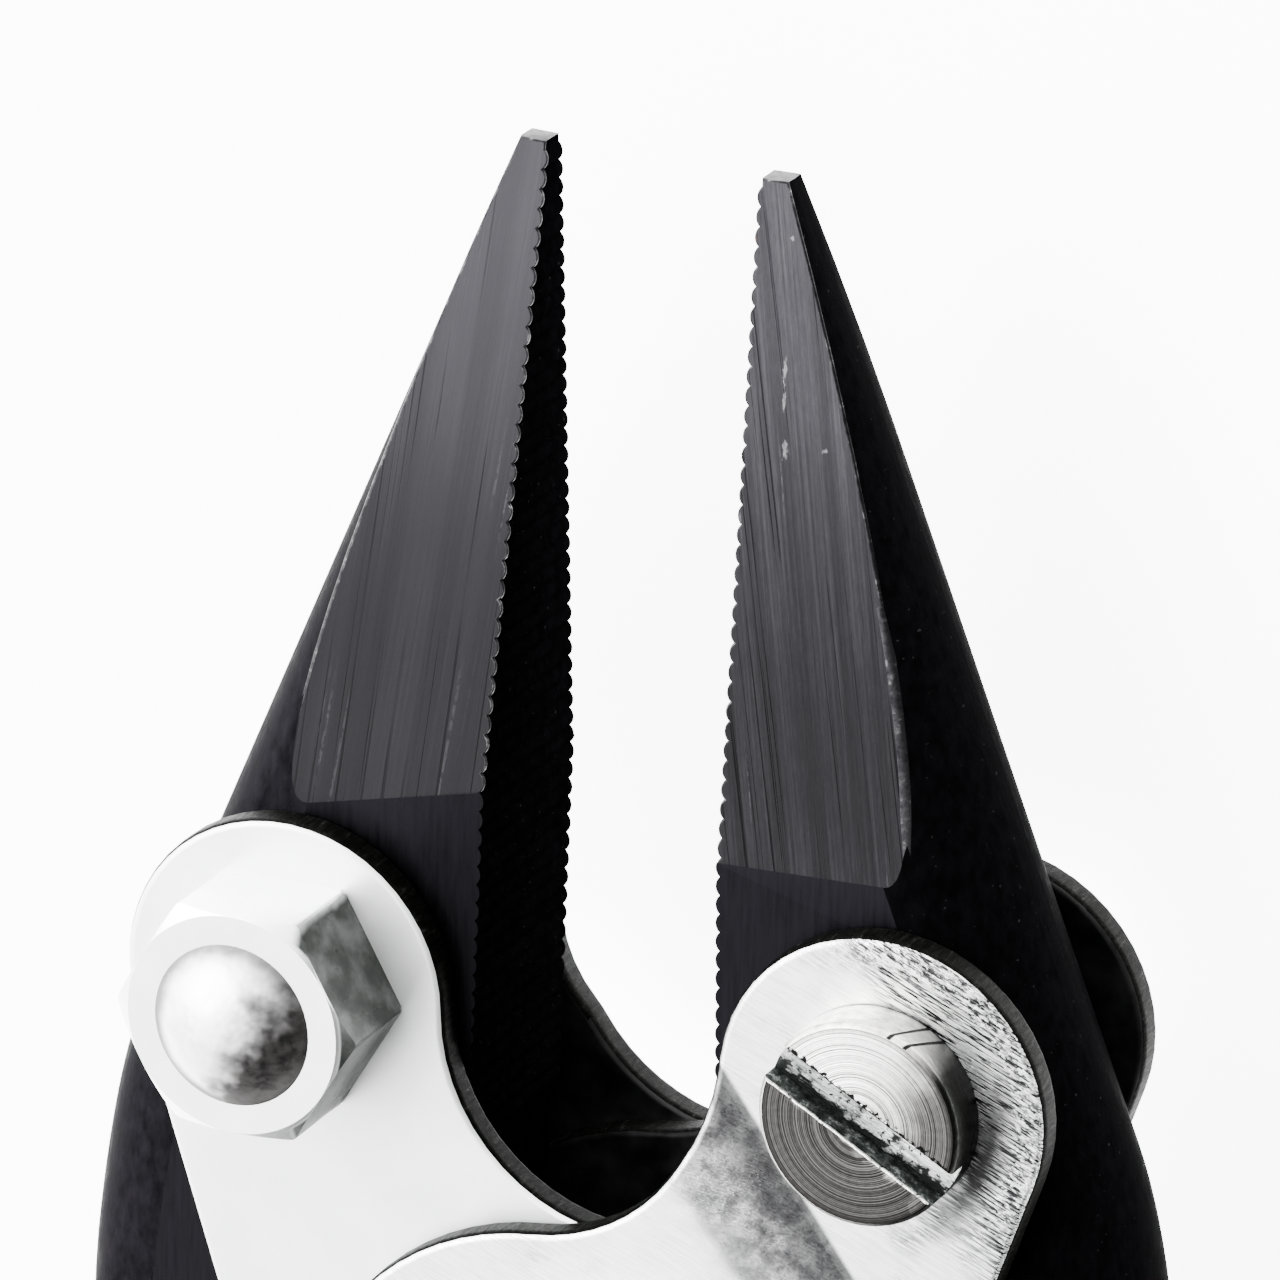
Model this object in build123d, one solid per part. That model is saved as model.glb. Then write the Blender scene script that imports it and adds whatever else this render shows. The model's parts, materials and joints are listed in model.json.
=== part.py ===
from build123d import *
import os
from math import asin, cos, degrees, radians, sin, sqrt

# Parallel-action grozing pliers, lying on their back: X across the tool, Y towards the jaw tips, Z through
# the thickness.  Two folded sheet handles cross at a main pivot.  Each handle is pinned to one jaw at its
# ear, and carries a bushed rivet in the slot of the other jaw's tail.  Ear, pivot and rivet lie on one
# straight arm, so the jaws stay parallel while they open.
# Every piece is drawn about the main pivot with Z = 0 at mid-thickness.  Right-hand pieces are left-hand
# ones turned half a turn about the Y axis, as on the real tool, but for the jaws' ground flats and the
# thinner nut behind the right jaw.

# ---- driving dimensions, millimetres and degrees ----
ARM = 20.0                  # main pivot to ear, and main pivot to slot rivet
EAR_X = 11.3                # ear to the tool's centre line, tool at rest
HALF_GAP = 4.2              # centre line to the middle of the toothed face, tool at rest
SHEET = 1.25                # handle sheet
PLAY = 0.05                 # between sliding flat faces, and radial play of a bore
FIT = 0.02                  # radial play of a fixed fit

JAW_T = 7.4                 # forged jaw thickness
JAW_LENGTH = 30.9           # ear to jaw tip
TOE_IN = 1.3                # lean of each jaw, so that the tips meet first
TOE_CENTRE = 16.0           # height above the ear that the lean leaves in place
TIP_T = 1.1                 # thickness at the tip
TIP_W = 1.15                # width at the tip
LEFT_GRIND = (8.2, 15.0)    # where the left jaw's front flat starts above the ear, and its skew
RIGHT_GRIND = (7.3, -1.3)
BACK_GRIND = (7.8, 0.0)
FLANK_FOOT = (-6.8, -2.6)   # lower end of the jaw's straight flank, from the ear
OUTER_ROUND = 3.6           # rounding of the jaw's outer side
TOOTH_PITCH = 0.68
TOOTH_DEPTH = 0.15
TOOTH_COUNT = 53
TOOTH_TOP = 30.6            # first tooth, above the ear
RELIEF = 0.3                # step back of the jaw's inner face below the teeth
TAIL_HALF_W = 5.2           # jaw tail beside the slot
SLOT_R = 2.55
PIVOT_NOTCH_R = 4.75        # notch that clears the main pivot sleeve

EAR_R = 6.1
HUB_R = 9.8
HUB_BACK_R = 11.6           # hub on the side away from the blend
BOSS_R = 6.3                # cheek round the slot rivet
EAR_BLEND = 7.0
BOSS_BLEND = 5.0
EDGE_LEAN = 15.9            # lean of the cheek's straight edge from the arm
SPINE = [(9.8, 0), (9.2, -14), (8.8, -24.5), (8.3, -38), (6.4, -54), (2.3, -71), (-3.2, -87), (-9.5, -101)]
CHANNEL_D = 10.5            # depth of the folded channel
WEB_TOP = -24.5             # where the channel's web starts, along the arm
END_BULGE = 3.6
JOGGLE_LEAN = 18.7          # lean of the joggles from square to the arm
JOGGLE_UP = (11.2, 14.3)    # upper joggle, start and end from the main pivot
JOGGLE_DOWN = (12.6, 15.3)

GRIP_TOP = -48.0
GRIP_WALL = 1.6
GRIP_ROUND = 2.6

EAR_SCREW = {"shank": 2.5, "head_r": 3.7, "head_h": 1.9, "slot_w": 1.4, "slot_d": 0.95, "turn": 28.9}
EAR_NUT = {"flats": 8.0, "height": 4.0, "dome_r": 2.95, "dome_h": 1.3}
BACK_NUT = {"flats": 8.0, "height": 2.6, "dome_r": 2.95, "dome_h": 1.3}     # at the right jaw, behind
EAR_BUSH_R = 3.6
MAIN_SCREW = {"shank": 3.0, "head_r": 5.0, "head_h": 2.4, "slot_w": 1.6, "slot_d": 1.2, "turn": 35.0}
MAIN_NUT = {"flats": 10.0, "height": 4.0, "dome_r": 3.4, "dome_h": 1.0}
MAIN_SLEEVE_R = 3.9
NUT_CHAMFER = 0.4           # height over which a nut's corners are turned down
WASHER_R = 6.0
WASHER_T = 0.8
RIVET_R = 2.0
RIVET_HEAD_R = 3.4
RIVET_HEAD_H = 1.3
SLOT_BUSH_R = 2.5

# ---- worked out from them ----
REST = degrees(asin(EAR_X / ARM))                   # lean of each arm at rest
EAR_Y = ARM * cos(radians(REST))
CHEEK_Z = JAW_T / 2 + PLAY                          # inner face of a cheek
RAISE = SHEET + PLAY                                # how far a joggle lifts the sheet
CHEEK_TOP = CHEEK_Z + SHEET
RAISED_TOP = CHEEK_TOP + RAISE
FAR = 200.0                                         # larger than the whole tool


def slot_reach(half_gap):
    """Distance from ear to slot rivet when the tooth crests are half_gap from the centre line."""
    lean = asin((EAR_X - HALF_GAP + half_gap) / ARM)
    return 2 * ARM * cos(lean)


CLOSED_GAP = 0.05 + (TOOTH_TOP - TOE_CENTRE) * sin(radians(TOE_IN))
OPEN_GAP = 6.3
SLOT_TOP = -slot_reach(OPEN_GAP) + 0.3
SLOT_BOTTOM = -slot_reach(CLOSED_GAP) - 0.3


def turned(piece):
    """The same piece on the other side of the tool."""
    return Rot(0, 180, 0) * piece


def at_ear(piece):
    return Pos(-EAR_X, EAR_Y, 0) * piece


def on_arm(piece):
    """From a handle's own frame, where the ear is straight up from the pivot, to its lean at rest."""
    return Rot(0, 0, REST) * piece


def disc(radius, low, high):
    """An upright cylinder on the Z axis."""
    return Pos(0, 0, low) * Cylinder(radius, high - low, align=(Align.CENTER, Align.CENTER, Align.MIN))


def prism(face, low, high):
    return extrude(Pos(0, 0, low) * face, high - low)


# ---- jaws ----

def jaw_blank():
    """The forged jaw before its inner face is cut: flank, tail and rounded outer side."""
    tip = Vector(EAR_X - HALF_GAP - TIP_W, JAW_LENGTH)
    foot = Vector(*FLANK_FOOT)
    above = tip + (tip - foot) * 0.4
    flank = Line(above, foot)
    lobe = Spline(foot, (-8.3, -9.7), (-8.6, -15.5), (-7.9, -21), (-6.4, -27), (-TAIL_HALF_W, -34),
                  tangents=[flank % 1, (0, -1)])
    side = Line(lobe @ 1, (-TAIL_HALF_W, SLOT_BOTTOM))
    end = ThreePointArc(side @ 1, (0, SLOT_BOTTOM - TAIL_HALF_W), (TAIL_HALF_W, SLOT_BOTTOM))
    inner = Polyline(end @ 1, (TAIL_HALF_W, -27), (FAR / 4, -27), (FAR / 4, above.Y), above)
    outline = make_face(flank + lobe + side + end + inner)
    blank = prism(outline, -JAW_T / 2, JAW_T / 2)
    rounded = [e for e in blank.edges() if abs(e.center().Z) > JAW_T / 2 - 0.01 and (e @ 0.5).X < TAIL_HALF_W
               and (e @ 0.5).Y < above.Y - 1]
    return fillet(rounded, OUTER_ROUND)


def inner_cut():
    """Everything on the jaw's side of its inner face: teeth, relief, pivot notch and tip."""
    crest = EAR_X - HALF_GAP
    root = crest - TOOTH_DEPTH
    face = crest - RELIEF
    teeth = Curve()
    for i in range(TOOTH_COUNT):
        top = TOOTH_TOP - i * TOOTH_PITCH
        teeth += ThreePointArc((root, top), (crest, top - TOOTH_PITCH / 2), (root, top - TOOTH_PITCH))
    last = TOOTH_TOP - TOOTH_COUNT * TOOTH_PITCH
    closed_pivot = -slot_reach(CLOSED_GAP) / 2
    reach = sqrt(PIVOT_NOTCH_R ** 2 - RELIEF ** 2)
    lead = Polyline((root, last), (face, last), (face, closed_pivot + reach))
    notch = ThreePointArc((face, closed_pivot + reach), (crest - PIVOT_NOTCH_R, closed_pivot),
                          (face, closed_pivot - reach))
    rest = Polyline((face, closed_pivot - reach), (TAIL_HALF_W, -27), (TAIL_HALF_W, -FAR / 2),
                    (-FAR / 2, -FAR / 2), (-FAR / 2, JAW_LENGTH), (root, JAW_LENGTH), (root, TOOTH_TOP))
    return prism(make_face(teeth + lead + notch + rest), -JAW_T, JAW_T)


def grind(start, skew):
    """What the tapering front flat takes off a jaw."""
    run = (JAW_LENGTH - start) * cos(radians(skew))
    drop = (JAW_T - TIP_T) / 2
    over = 2.0
    side = Polyline((0, 0), (run * over, -drop * over), (run * over, JAW_T), (0, JAW_T), close=True)
    wedge = extrude(Plane.YZ * make_face(side), FAR / 4, both=True)
    return Pos(EAR_X - HALF_GAP, start, JAW_T / 2) * Rot(0, 0, skew) * wedge


def jaw(front, back):
    """The left jaw, drawn with its ear bore on the Z axis."""
    body = jaw_blank() & inner_cut()
    body -= grind(*front)
    body -= mirror(grind(*back), Plane.XY)
    body = Pos(0, TOE_CENTRE, 0) * Rot(0, 0, -TOE_IN) * Pos(0, -TOE_CENTRE, 0) * body
    body -= disc(EAR_BUSH_R + PLAY, -JAW_T, JAW_T)
    slot = SlotCenterToCenter(SLOT_TOP - SLOT_BOTTOM, 2 * SLOT_R, rotation=90)
    body -= Pos(0, (SLOT_TOP + SLOT_BOTTOM) / 2, 0) * prism(slot, -JAW_T, JAW_T)
    return body


# ---- handles ----

def blend_centre(top_r, bottom_r, blend_r):
    """Centre of a concave arc that touches circles at the arm's two ends; X positive, Y from the top end."""
    to_top = top_r + blend_r
    to_bottom = bottom_r + blend_r
    along = (to_top ** 2 - to_bottom ** 2 + ARM ** 2) / (2 * ARM)
    return Vector(sqrt(to_top ** 2 - along ** 2), -along)


def short_arc(centre, radius, start, end, away=False):
    """The arc about centre between two points on it, the short way round, or the long way."""
    middle = ((start - centre) + (end - centre)).normalized() * radius
    if away:
        middle = -middle
    return ThreePointArc(start, centre + middle, end)


def handle_spine():
    """The handle's outer edge, from the hub to the end of the channel."""
    return Spline(*SPINE, tangents=[(0, -1), (-0.42, -0.91)])


def cheek_outline():
    """One cheek in the handle's own frame, from the ear down to the end of the channel."""
    ear = Vector(0, ARM)
    hub = Vector(0, 0)
    boss = Vector(0, -ARM)
    lean = radians(EDGE_LEAN)
    edge_side = Vector(-cos(lean), sin(lean))
    ear_left = ear + edge_side * EAR_R
    hub_left = edge_side * HUB_BACK_R
    upper = ear + blend_centre(EAR_R, HUB_R, EAR_BLEND)
    ear_right = ear + (upper - ear).normalized() * EAR_R
    hub_right = upper.normalized() * HUB_R
    lower = boss - blend_centre(BOSS_R, HUB_BACK_R, BOSS_BLEND)
    boss_left = boss + (lower - boss).normalized() * BOSS_R
    hub_low = lower.normalized() * HUB_BACK_R

    spine = handle_spine()
    steps = [0.98, 0.84, 0.7, 0.56, 0.43]
    inner_points = [spine @ t + (spine % t).rotate(Axis.Z, -90) * CHANNEL_D for t in steps]
    low_end = spine @ 1 + (spine % 1).rotate(Axis.Z, -90) * CHANNEL_D
    cap = ThreePointArc(spine @ 1, (spine @ 1 + low_end) / 2 + (spine % 1) * END_BULGE, low_end)
    boss_side = boss + Vector(-BOSS_R, 0)
    inner = Spline(low_end, *inner_points, boss_side, tangents=[-(spine % 1), (0, 1)])
    outline = short_arc(ear, EAR_R, ear_right, ear_left, away=True)
    outline += Line(ear_left, hub_left)
    outline += short_arc(hub, HUB_BACK_R, hub_left, hub_low)
    outline += short_arc(lower, BOSS_BLEND, hub_low, boss_left)
    outline += short_arc(boss, BOSS_R, boss_left, boss_side)
    outline += inner
    outline += cap
    outline += spine
    outline += short_arc(hub, HUB_R, spine @ 0, hub_right)
    outline += short_arc(upper, EAR_BLEND, hub_right, ear_right)
    return make_face(outline)


def below(face, height):
    """The part of a face that lies below a height along the arm."""
    return face & Pos(0, height - FAR / 2, 0) * Rectangle(FAR, FAR)


def joggled_slab():
    """A sheet that steps out between its two joggles, wide enough to cover a cheek."""
    inner = [(FAR / 2, CHEEK_Z), (JOGGLE_UP[1], CHEEK_Z), (JOGGLE_UP[0], CHEEK_Z + RAISE),
             (-JOGGLE_DOWN[0], CHEEK_Z + RAISE), (-JOGGLE_DOWN[1], CHEEK_Z), (-FAR, CHEEK_Z)]
    bends = [1.2, 1.2, 1.2, 1.2]
    under = FilletPolyline(*inner, radius=bends)
    over = FilletPolyline(*[(s, z + SHEET) for s, z in inner], radius=bends)
    ends = Line(under @ 0, over @ 0) + Line(under @ 1, over @ 1)
    section = make_face(under + over + ends)
    slab = extrude(Plane.YZ * section, FAR, both=True)
    return Rot(0, 0, JOGGLE_LEAN) * slab


def handle():
    """The handle pinned to the left jaw: flat front cheek, joggled back cheek, web along the outside."""
    outline = cheek_outline()
    channel = below(outline, WEB_TOP)
    front = prism(outline, CHEEK_Z, CHEEK_TOP)
    back = mirror(prism(outline, 0, RAISED_TOP + 1) & joggled_slab(), Plane.XY)
    web = prism(channel - Pos(-SHEET, 0, 0) * channel, -CHEEK_TOP, CHEEK_TOP)
    body = front + back + web
    for y, radius in ((0, MAIN_SCREW["shank"] + PLAY), (ARM, EAR_SCREW["shank"] + FIT), (-ARM, RIVET_R + FIT)):
        body -= Pos(0, y, 0) * disc(radius, -FAR, FAR)
    return body


def grip():
    """A dipped sleeve over the lower part of the channel, closed at its end."""
    spine = handle_spine()
    steps = [0.36, 0.52, 0.68, 0.84, 1.0]
    outer = [spine @ t + (spine % t).rotate(Axis.Z, 90) * GRIP_WALL for t in steps]
    inner = [spine @ t + (spine % t).rotate(Axis.Z, -90) * (CHANNEL_D + GRIP_WALL) for t in steps]
    bottom = (outer[-1] + inner[-1]) / 2 + (spine % 1) * (END_BULGE + GRIP_WALL)
    outline = Spline(*outer) + ThreePointArc(outer[-1], bottom, inner[-1])
    outline += Spline(*reversed(inner))
    outline += Line(inner[0], outer[0])
    body = prism(make_face(outline), -CHEEK_TOP - GRIP_WALL, CHEEK_TOP + GRIP_WALL)
    body = fillet(body.edges().group_by(Axis.Z)[0] + body.edges().group_by(Axis.Z)[-1], GRIP_ROUND)
    body -= prism(below(cheek_outline(), 0), -CHEEK_TOP, CHEEK_TOP)
    return body - Pos(0, GRIP_TOP + FAR / 2, 0) * Box(FAR, FAR, FAR)


# ---- fasteners, drawn on the Z axis with the head at the back ----

def slotted_screw(size, head_face, nut_face, nut):
    """A cheese-head screw from a face at the back through to a nut at the front, its end peened over."""
    head = disc(size["head_r"], head_face - size["head_h"], head_face)
    head = chamfer(head.edges().group_by(Axis.Z)[0], 0.15)
    slot = Box(3 * size["head_r"], size["slot_w"], 2 * size["slot_d"])
    head -= Pos(0, 0, head_face - size["head_h"]) * Rot(0, 0, size["turn"]) * slot
    end = nut_face + nut["height"]
    shank = disc(size["shank"], head_face, end)
    ball = (nut["dome_r"] ** 2 + nut["dome_h"] ** 2) / (2 * nut["dome_h"])
    dome = Pos(0, 0, end + nut["dome_h"] - ball) * Sphere(ball) & disc(nut["dome_r"], end, end + ball)
    return head + shank + dome


def hex_nut(size, shank, face):
    """A hexagon nut sitting on a face, its corners chamfered at the top."""
    corner = size["flats"] / sqrt(3)
    top = face + size["height"]
    body = prism(RegularPolygon(corner, 6), face, top)
    turning = disc(corner, face, top - NUT_CHAMFER)
    turning += Pos(0, 0, top - NUT_CHAMFER) * Cone(
        corner, size["flats"] / 2, NUT_CHAMFER, align=(Align.CENTER, Align.CENTER, Align.MIN))
    return (body & turning) - disc(shank + FIT, -FAR, FAR)


def tube(outer, inner, half_length):
    return disc(outer, -half_length, half_length) - disc(inner, -FAR, FAR)


def rivet():
    """A rivet through both cheeks, with a low domed head on each."""
    ball = (RIVET_HEAD_R ** 2 + RIVET_HEAD_H ** 2) / (2 * RIVET_HEAD_H)
    head = Pos(0, 0, CHEEK_TOP + RIVET_HEAD_H - ball) * Sphere(ball)
    head &= disc(RIVET_HEAD_R, CHEEK_TOP, CHEEK_TOP + ball)
    return disc(RIVET_R, -CHEEK_TOP, CHEEK_TOP) + head + mirror(head, Plane.XY)


def at_slot(piece):
    """From the Z axis to the slot rivet of the handle that is pinned to the left jaw."""
    return Pos(EAR_X, -EAR_Y, 0) * piece


# ---- the pieces ----
pieces = {}
pieces["left_jaw"] = at_ear(jaw(LEFT_GRIND, BACK_GRIND))
pieces["right_jaw"] = turned(at_ear(jaw(BACK_GRIND, RIGHT_GRIND)))
pieces["right_handle"] = on_arm(handle())
pieces["left_handle"] = turned(pieces["right_handle"])
pieces["right_grip"] = on_arm(grip())
pieces["left_grip"] = turned(pieces["right_grip"])

for side, nut in (("left_jaw_", EAR_NUT), ("right_jaw_", BACK_NUT)):
    pieces[side + "screw"] = at_ear(slotted_screw(EAR_SCREW, -CHEEK_TOP, CHEEK_TOP, nut))
    pieces[side + "nut"] = at_ear(hex_nut(nut, EAR_SCREW["shank"], CHEEK_TOP))
    pieces[side + "bush"] = at_ear(tube(EAR_BUSH_R, EAR_SCREW["shank"] + FIT, CHEEK_Z))
for name in ("right_jaw_screw", "right_jaw_nut", "right_jaw_bush"):
    pieces[name] = turned(pieces[name])

slot_pieces = {
    "rivet": rivet(),
    "bush": tube(SLOT_BUSH_R, RIVET_R + FIT, CHEEK_Z),
}
for name, piece in slot_pieces.items():
    pieces["right_slot_" + name] = at_slot(piece)
    pieces["left_slot_" + name] = turned(at_slot(piece))

nut_seat = RAISED_TOP + WASHER_T
pieces["main_pivot_screw"] = slotted_screw(MAIN_SCREW, -RAISED_TOP, nut_seat, MAIN_NUT)
pieces["main_pivot_nut"] = hex_nut(MAIN_NUT, MAIN_SCREW["shank"], nut_seat)
pieces["main_pivot_washer"] = Pos(0, 0, RAISED_TOP + WASHER_T / 2) * tube(
    WASHER_R, MAIN_SCREW["shank"] + FIT, WASHER_T / 2)
pieces["main_pivot_sleeve"] = tube(MAIN_SLEEVE_R, MAIN_SCREW["shank"] + FIT, CHEEK_Z - PLAY)

# The row's origin: middle of the whole tool seen from above, on the surface that it lies on.
whole = Compound([piece.solid() for piece in pieces.values()]).bounding_box()
origin = Vector((whole.min.X + whole.max.X) / 2, (whole.min.Y + whole.max.Y) / 2, whole.min.Z)
for name, piece in pieces.items():
    export_step(Pos(-origin) * piece, "parts/" + name + ".step")

print("main pivot at", -origin.X, -origin.Y, -origin.Z)
print("ears at", EAR_X, EAR_Y - origin.Y, "lean at rest", REST)
print("size", whole.size)
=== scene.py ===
import json
import math

import bmesh
import bpy
from mathutils import Matrix, Vector, noise


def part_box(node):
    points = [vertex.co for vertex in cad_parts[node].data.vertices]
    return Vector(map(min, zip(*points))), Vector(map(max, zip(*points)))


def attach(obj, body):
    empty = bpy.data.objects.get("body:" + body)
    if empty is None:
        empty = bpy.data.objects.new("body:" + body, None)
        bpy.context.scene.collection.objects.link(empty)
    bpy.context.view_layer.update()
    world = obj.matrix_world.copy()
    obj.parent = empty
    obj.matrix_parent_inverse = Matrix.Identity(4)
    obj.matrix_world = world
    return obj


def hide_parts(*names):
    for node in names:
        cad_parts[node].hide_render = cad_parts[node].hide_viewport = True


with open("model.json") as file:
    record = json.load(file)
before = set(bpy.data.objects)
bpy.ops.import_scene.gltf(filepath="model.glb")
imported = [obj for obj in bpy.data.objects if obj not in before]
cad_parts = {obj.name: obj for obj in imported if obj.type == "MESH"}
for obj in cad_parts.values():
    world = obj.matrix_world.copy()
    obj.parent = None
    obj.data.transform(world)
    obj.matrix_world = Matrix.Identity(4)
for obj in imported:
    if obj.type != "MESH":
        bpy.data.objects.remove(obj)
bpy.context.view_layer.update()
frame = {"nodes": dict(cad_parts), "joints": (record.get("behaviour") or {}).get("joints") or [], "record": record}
MM = 0.001

joints = {j["name"]: j for j in frame["joints"]}
PIVOT = Vector(joints["right_handle_swing"]["pos_m"])
LEFT_EAR = Vector(joints["left_jaw_pivot"]["pos_m"])
RIGHT_EAR = Vector(joints["right_jaw_pivot"]["pos_m"])
HEAD_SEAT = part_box("left_jaw_nut")[0].z      # the cheeks' outer face at the front

# ---- camera: in front of the head, from the tool's right and a little from the tip side ----
CAMERA_AZIMUTH = 24.39      # degrees, as the two below
CAMERA_ELEVATION = 21.07
CAMERA_ROLL = 1.39
CAMERA_DISTANCE = 412.8 * MM
AIM_UP = 12.32 * MM         # how far above the ears' middle the camera's axis passes
AIM_SIDE = 0.02 * MM
LENS = 334.9
SENSOR_WIDTH = 36


def make_camera():
    az, el, roll = (math.radians(v) for v in (CAMERA_AZIMUTH, CAMERA_ELEVATION, CAMERA_ROLL))
    back = Vector((math.sin(az) * math.cos(el), math.sin(el), math.cos(az) * math.cos(el)))
    level = Vector((math.cos(az), 0, -math.sin(az)))
    upright = back.cross(level)
    right = level * math.cos(roll) + upright * math.sin(roll)
    up = back.cross(right)
    middle = (LEFT_EAR + RIGHT_EAR) / 2
    data = bpy.data.cameras.new("camera")
    data.lens = LENS
    data.sensor_width = SENSOR_WIDTH
    data.clip_start = 0.01
    cam = bpy.data.objects.new("camera", data)
    bpy.context.scene.collection.objects.link(cam)
    place = Matrix((right, up, back)).transposed().to_4x4()
    place.translation = middle + back * CAMERA_DISTANCE + up * AIM_UP + right * AIM_SIDE
    cam.matrix_world = place
    bpy.context.scene.camera = cam


make_camera()


# ---- material helpers ----
MIX_COLOURS = slice(6, 8)   # a Mix node's two colour inputs
MIX_RESULT = 2              # and its colour output


class Nodes:
    """A short way to write node trees; points are in metres, and distances in millimetres."""

    def __init__(self, name, **sockets):
        self.material = bpy.data.materials.new(name)
        self.material.use_nodes = True
        self.tree = self.material.node_tree
        self.shader = self.tree.nodes["Principled BSDF"]
        for key, value in sockets.items():
            self.shader.inputs[key.replace("_", " ")].default_value = value
        self.coords = self.add("ShaderNodeTexCoord").outputs["Object"]

    def add(self, kind, inputs=(), **settings):
        node = self.tree.nodes.new(kind)
        for key, value in settings.items():
            setattr(node, key, value)
        for key, value in dict(inputs).items():
            self.feed(value, node.inputs[key])
        return node

    def feed(self, value, socket):
        if isinstance(value, bpy.types.NodeSocket):
            self.tree.links.new(value, socket)
        else:
            socket.default_value = value

    def mapped(self, scale, turn=0.0, place=(0, 0, 0)):
        """Object coordinates turned about Z, then scaled, in features per millimetre."""
        spin = (0, 0, math.radians(turn))
        spun = self.add("ShaderNodeMapping", {"Vector": self.coords, "Rotation": spin}).outputs[0]
        size = [v / MM for v in scale]
        inputs = {"Vector": spun, "Scale": size, "Location": place}
        return self.add("ShaderNodeMapping", inputs).outputs[0]

    def noise(self, scale, turn=0.0, detail=3.0, rough=0.5, place=(0, 0, 0)):
        """Noise whose scale gives its features per millimetre along the three turned axes."""
        spot = self.mapped(scale, turn, place)
        inputs = {"Vector": spot, "Scale": 1.0, "Detail": detail, "Roughness": rough}
        return self.add("ShaderNodeTexNoise", inputs).outputs["Fac"]

    def rings(self, radius, per_mm, detail=4.0):
        """Noise that changes only with the radius, as turning marks do."""
        inputs = {"W": radius, "Scale": per_mm, "Detail": detail}
        return self.add("ShaderNodeTexNoise", inputs, noise_dimensions="1D").outputs["Fac"]

    def from_point(self, centre):
        """Vector from a point, in millimetres."""
        away = self.vector_math("SUBTRACT", {0: self.coords, 1: centre}).outputs[0]
        return self.vector_math("SCALE", {0: away, "Scale": 1 / MM}).outputs[0]

    def along(self, centre, direction):
        """Distance from a point along a direction."""
        inputs = {0: self.from_point(centre), 1: Vector(direction).normalized()}
        return self.vector_math("DOT_PRODUCT", inputs).outputs["Value"]

    def radius(self, centre, stretch=(1, 1, 0)):
        """Distance from an axis along Z; stretch scales it along X and Y."""
        flat = self.vector_math("MULTIPLY", {0: self.from_point(centre), 1: stretch}).outputs[0]
        return self.vector_math("LENGTH", {0: flat}).outputs["Value"]

    def step(self, value, start, end, low=0.0, high=1.0):
        """From low at start to high at end, smoothly."""
        inputs = {"Value": value, "From Min": start, "From Max": end, "To Min": low, "To Max": high}
        return self.add("ShaderNodeMapRange", inputs, interpolation_type="SMOOTHSTEP").outputs[0]

    def ramp(self, value, stops):
        """Colours, or greys, at places between 0 and 1."""
        node = self.add("ShaderNodeValToRGB", {"Fac": value})
        ramp = node.color_ramp
        while len(ramp.elements) < len(stops):
            ramp.elements.new(0.5)
        for element, (at, colour) in zip(ramp.elements, stops):
            element.position = at
            shade = colour if isinstance(colour, tuple) else (colour,) * 3
            element.color = (*shade, 1)
        return node.outputs["Color"]

    def vector_math(self, kind, inputs):
        return self.add("ShaderNodeVectorMath", inputs, operation=kind)

    def math(self, kind, a, b=0.0):
        return self.add("ShaderNodeMath", {0: a, 1: b}, operation=kind).outputs[0]

    def both(self, a, b):
        return self.math("MULTIPLY", a, b)

    def swing(self, value, width):
        """A noise value made to swing about zero."""
        return self.both(self.math("SUBTRACT", value, 0.5), width)

    def mix(self, fac, a, b):
        """Colour a where fac is 0, colour b where it is 1."""
        node = self.add("ShaderNodeMix", {0: fac}, data_type="RGBA")
        for socket, value in zip(node.inputs[MIX_COLOURS], (a, b)):
            if isinstance(value, tuple):
                value = (*value, 1)
            self.feed(value, socket)
        return node.outputs[MIX_RESULT]

    def bump(self, height, depth_mm, under=None):
        """Normal of a surface raised by height; under is a normal that it adds to."""
        inputs = {"Height": height, "Distance": depth_mm * MM, "Strength": 1.0}
        if under is not None:
            inputs["Normal"] = under
        return self.add("ShaderNodeBump", inputs).outputs[0]

    def out(self, **sockets):
        """The material, with its shader fed."""
        for key, value in sockets.items():
            self.feed(value, self.shader.inputs[key.replace("_", " ")])
        return self.material


def turned_by(vector, turn):
    """A vector turned about Z, by an angle in degrees."""
    return Matrix.Rotation(math.radians(turn), 3, "Z") @ Vector(vector)


# ---- the tool's own measures that materials follow, in millimetres and degrees ----
SLOT_TURN = -28.9           # of the screw slots seen from the front, from +X
SLOT_HALF = 0.7             # half a slot's width
NICK_AZIMUTHS = (73.0, 62.5)    # where a screw head's side is nicked, from +X
EAR_RADIUS = 6.1            # of the cheeks' ears
# The joggle on the left handle's raised cheek: its way from the main pivot, and where it bends.
JOGGLE_WAY = turned_by(RIGHT_EAR - PIVOT, -18.7)
JOGGLE_START = 11.2
JOGGLE_END = 14.3


# ---- materials ----
# Blackened steel: tone, and specular level. The left jaw's tone is five times the right's: painted light, as its
# sides face the bright side of the tent.
LEFT_FORGED_PAINTED_LIT = (5.0, 0.0015)
RIGHT_FORGED = (1.0, 0.0005)
TOOTHED = (0.8, 0.0)

# Bright dents on the right jaw's flat, from its ear: place, half width and half length.
RIGHT_MARKS = [(-5.85, 24.4, 0.07, 0.60), (-5.80, 23.3, 0.06, 0.50), (-5.60, 21.7, 0.13, 0.35),
               (-4.15, 21.9, 0.13, 0.09), (-6.0, 28.9, 0.14, 0.09)]
RUST_FLECK = (-7.45, 28.6, 0.16, 0.22)

# Height above the ear over which a ground flat gets brighter, and how much.
TIPWARD_START = 12.0
TIPWARD_END = 29.5
TIPWARD_LOW = 0.95
TIPWARD_HIGH = 2.3


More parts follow.
